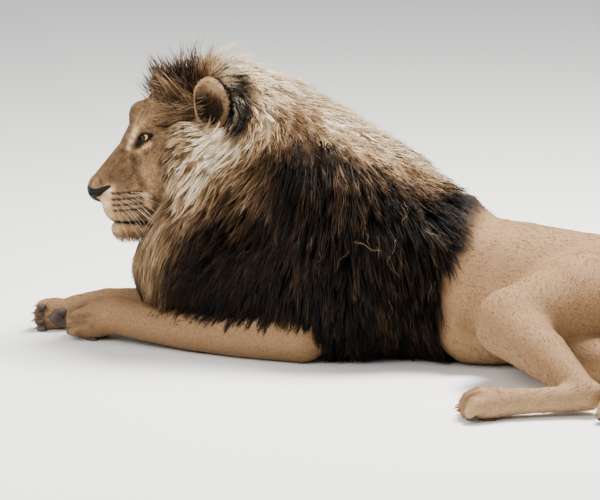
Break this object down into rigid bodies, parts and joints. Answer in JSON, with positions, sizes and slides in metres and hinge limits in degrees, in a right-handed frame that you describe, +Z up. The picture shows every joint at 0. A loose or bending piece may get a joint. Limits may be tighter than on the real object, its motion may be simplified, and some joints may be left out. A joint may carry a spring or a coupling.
{
  "type": "lion",
  "caption": "Still, life-size male lion with a full mane, lying with its forelegs stretched forward, head up and hindquarters rolled onto one haunch.",
  "frame": {"origin": "the middle of the animal's box, on the level it lies on", "axes": "the lion faces -X, its left side is towards -Y, and +Z is up"},
  "size_m": [2.1216, 0.9272, 0.7258],
  "materials": {
    "coat": "short tawny fur",
    "pale_coat": "short pale fur of the chin and lips",
    "mane": "long coarse mane hair, pale blond at the ruff to near black on the shoulders",
    "eye": "glossy amber iris with a dark pupil",
    "nose_leather": "dark pebbled skin of the nose, lips and eyelids",
    "paw_pad": "dark rough skin of the paw pads",
    "claw": "horn",
    "whisker": "stiff pale whisker hair"
  },
  "bodies": {
    "root": {"head": "coat", "jaw": "pale_coat", "ear_left": "coat", "ear_right": "coat", "eye_left": "eye", "eye_right": "eye", "mane_crown": "mane", "neck": "mane", "chest": "mane", "shoulder_left": "mane", "shoulder_right": "mane", "trunk": "coat", "hindquarters": "coat", "foreleg_left_forearm": "coat", "foreleg_left_paw": "coat", "foreleg_right_forearm": "coat", "foreleg_right_paw": "coat", "hindleg_left_thigh": "coat", "hindleg_left_shank": "coat", "hindleg_left_foot": "coat", "hindleg_right_thigh": "coat", "hindleg_right_shank": "coat", "hindleg_right_foot": "coat", "tail_base": "coat", "tail_middle": "coat", "tail_end": "coat", "tail_tuft": "mane"}
  },
  "joints": []
}
